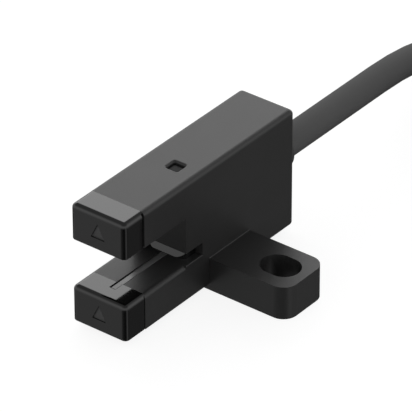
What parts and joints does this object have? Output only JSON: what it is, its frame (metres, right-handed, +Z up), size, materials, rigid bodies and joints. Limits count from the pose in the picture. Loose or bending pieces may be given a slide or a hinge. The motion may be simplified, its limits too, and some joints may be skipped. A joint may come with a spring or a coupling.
{
  "type": "fork photoelectric sensor",
  "caption": "Small black fork sensor with a 5 mm slot between two prongs, a slotted side lug, an indicator window and a thin cable stored in a tied coil.",
  "frame": {"origin": "centre of the lug's slot, on the mounting plane under the lug", "axes": "+X from the cable end to the open end of the fork, +Y from the body to the lug, +Z up from the mounting plane"},
  "size_m": [0.0886, 0.0404, 0.0134],
  "materials": {
    "cable": "smooth satin jacket",
    "cable_bush": "moulded",
    "cable_coil": "smooth satin jacket",
    "capacitors": "ceramic chips",
    "case": "fine matt texture",
    "circuit_board": "green solder mask",
    "coil_tie": "moulded",
    "control_chip": "moulded package",
    "emitter": "moulded epoxy, bluish",
    "emitter_leads": "tinned",
    "indicator_lamp": "white package",
    "indicator_window": "smooth, smoked",
    "inner_core_black": "insulation",
    "inner_core_blue": "insulation",
    "inner_core_brown": "insulation",
    "inner_core_white": "insulation",
    "lead_core_black": "insulation",
    "lead_core_blue": "insulation",
    "lead_core_brown": "insulation",
    "lead_core_tips": "tinned strands",
    "lead_core_white": "insulation",
    "lower_optic_cap": "smooth, dark and filtering",
    "output_transistor": "moulded package",
    "protection_diode": "moulded package",
    "receiver": "moulded epoxy",
    "receiver_leads": "tinned",
    "receiver_slit_plate": "blackened sheet",
    "resistors": "ceramic chips",
    "side_cover": "fine matt texture",
    "upper_optic_cap": "smooth, dark and filtering"
  },
  "bodies": {
    "root": {"cable": "cable", "cable_bush": "cable_bush", "cable_coil": "cable_coil", "capacitors": "capacitors", "case": "case", "circuit_board": "circuit_board", "coil_tie": "coil_tie", "control_chip": "control_chip", "emitter": "emitter", "emitter_leads": "emitter_leads", "indicator_lamp": "indicator_lamp", "indicator_window": "indicator_window", "inner_core_black": "inner_core_black", "inner_core_blue": "inner_core_blue", "inner_core_brown": "inner_core_brown", "inner_core_white": "inner_core_white", "lead_core_black": "lead_core_black", "lead_core_blue": "lead_core_blue", "lead_core_brown": "lead_core_brown", "lead_core_tips": "lead_core_tips", "lead_core_white": "lead_core_white", "lower_optic_cap": "lower_optic_cap", "output_transistor": "output_transistor", "protection_diode": "protection_diode", "receiver": "receiver", "receiver_leads": "receiver_leads", "receiver_slit_plate": "receiver_slit_plate", "resistors": "resistors", "side_cover": "side_cover", "upper_optic_cap": "upper_optic_cap"}
  },
  "joints": []
}
